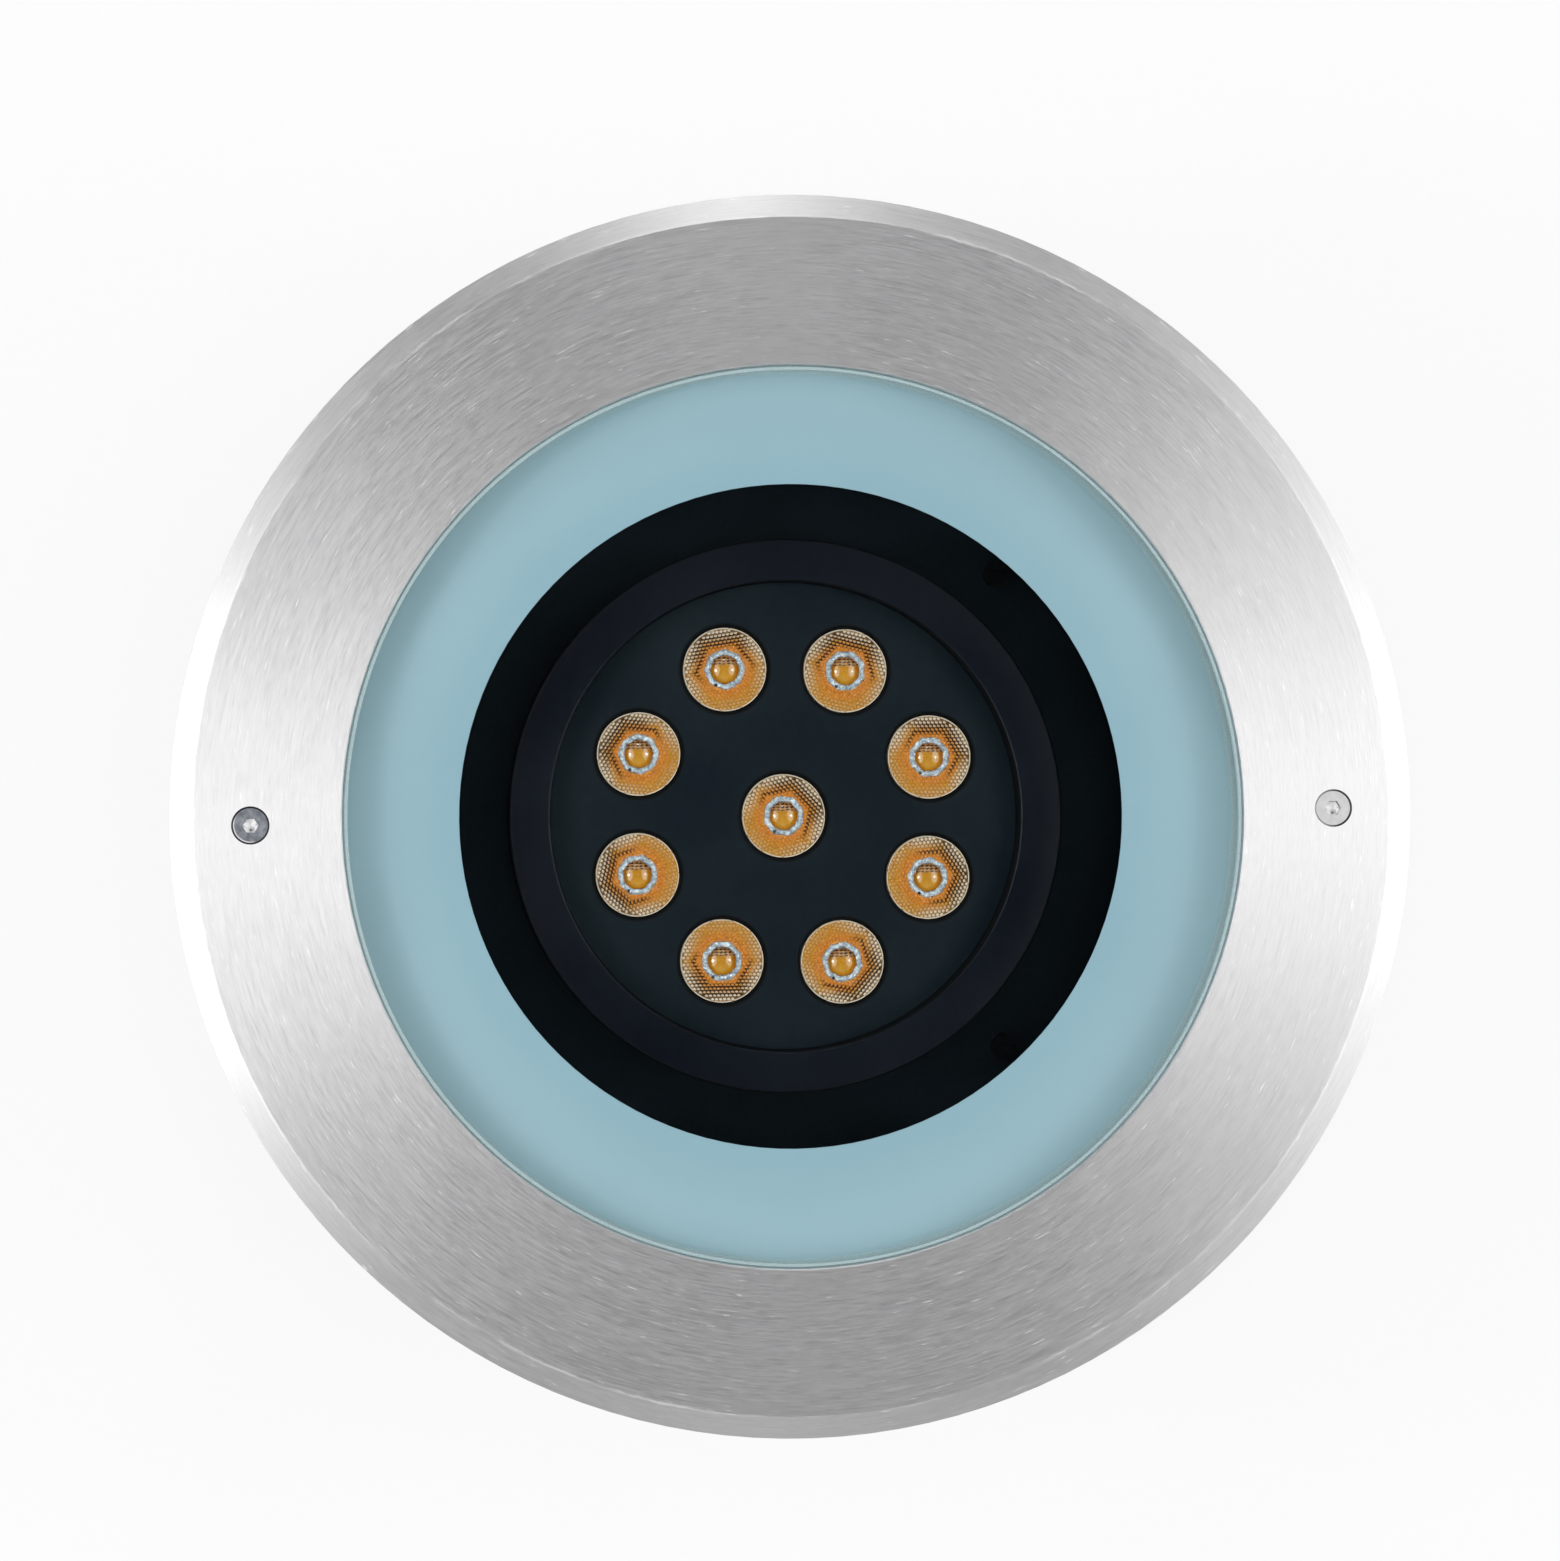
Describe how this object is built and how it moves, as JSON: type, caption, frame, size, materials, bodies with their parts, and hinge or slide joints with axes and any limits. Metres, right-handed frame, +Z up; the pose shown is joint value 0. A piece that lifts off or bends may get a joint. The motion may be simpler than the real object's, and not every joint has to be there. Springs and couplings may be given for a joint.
{
  "type": "in-ground well light",
  "caption": "Round recessed uplight: brushed bezel ring, flush glass with a blue printed border, tilting black lamp head with bead-faced lenses, in a ribbed ground sleeve.",
  "frame": {"origin": "centre of the sleeve's foot, where it stands", "axes": "+Z up, out of the light's face; the two bezel screws lie on the X axis; the conduit hubs point along +Y and -Y"},
  "size_m": [0.3, 0.3, 0.21],
  "materials": {
    "sleeve_plastic": "moulded, slightly rough",
    "brass": "turned",
    "hub_plastic": "moulded",
    "black_casting": "black powder coat on cast aluminium",
    "seal_rubber": "moulded silicone, matt",
    "cover_glass": "polished, toughened",
    "border_print": "pale blue fired print",
    "clamp_steel": "satin",
    "screw_steel": "machined",
    "bezel_steel": "brushed round its circle",
    "white_nylon": "moulded",
    "chassis_paint": "matt black",
    "yoke_paint": "satin black",
    "head_paint": "satin black",
    "plate_paint": "satin blue-black",
    "dark_aluminium": "black anodised",
    "pad_rubber": "soft, matt",
    "board_white": "white solder mask on an aluminium core",
    "led_ceramic": "matt white",
    "led_amber": "amber phosphor under clear silicone",
    "clear_lens": "clear, bead-faced",
    "driver_plastic": "moulded",
    "circuit_board": "solder mask",
    "terminal_plastic": "moulded",
    "gland_plastic": "moulded"
  },
  "bodies": {
    "sleeve": {"sleeve": "sleeve_plastic", "threaded_inserts": "brass", "conduit_hub_back": "hub_plastic", "conduit_hub_front": "hub_plastic"},
    "luminaire": {"chassis_plate": "chassis_paint", "chassis_screws": "screw_steel", "clamp_ring": "clamp_steel", "clamp_ring_screws": "screw_steel", "cover_glass": "cover_glass", "driver_board": "circuit_board", "driver_case": "driver_plastic", "driver_lid": "driver_plastic", "driver_screws": "screw_steel", "earth_screw": "screw_steel", "gland_body_left": "gland_plastic", "gland_body_right": "gland_plastic", "gland_dome_nut_left": "gland_plastic", "gland_dome_nut_right": "gland_plastic", "gland_lock_nuts": "gland_plastic", "gland_seal_left": "seal_rubber", "gland_seal_right": "seal_rubber", "gland_washers": "seal_rubber", "glass_gasket": "seal_rubber", "glass_print_border": "border_print", "housing": "black_casting", "pan_bolt": "screw_steel", "pan_nut": "screw_steel", "pan_washers": "white_nylon", "terminal_block": "terminal_plastic", "terminal_screws": "screw_steel", "vent_plug": "gland_plastic"},
    "bezel": {"bezel_ring": "bezel_steel", "bezel_screw_left": "screw_steel", "bezel_screw_right": "screw_steel", "screw_retainers": "white_nylon"},
    "yoke": {"yoke": "yoke_paint", "tilt_washers": "white_nylon"},
    "head": {"head_ring": "head_paint", "lens_plate": "plate_paint", "lens_plate_standoffs": "dark_aluminium", "heat_sink": "dark_aluminium", "thermal_pad": "pad_rubber", "led_board": "board_white", "led_packages": "led_ceramic", "led_domes": "led_amber", "tilt_screws": "screw_steel", "lens_middle": "clear_lens", "lens_1": "clear_lens", "lens_2": "clear_lens", "lens_3": "clear_lens", "lens_4": "clear_lens", "lens_5": "clear_lens", "lens_6": "clear_lens", "lens_7": "clear_lens", "lens_8": "clear_lens"}
  },
  "joints": [
    {"name": "luminaire_lift", "type": "slide", "parent": "sleeve", "child": "luminaire", "axis": [0, 0, 1], "range_m": [0, 0.18]},
    {"name": "bezel_lift", "type": "slide", "parent": "luminaire", "child": "bezel", "axis": [0, 0, 1], "range_m": [0, 0.06]},
    {"name": "head_pan", "type": "hinge", "parent": "luminaire", "child": "yoke", "pos_m": [0, 0, 0.109], "axis": [0, 0, 1], "range_deg": [-175, 175]},
    {"name": "head_tilt", "type": "hinge", "parent": "yoke", "child": "head", "pos_m": [0, 0, 0.146], "axis": [1, 0, 0], "range_deg": [-12, 12]}
  ]
}
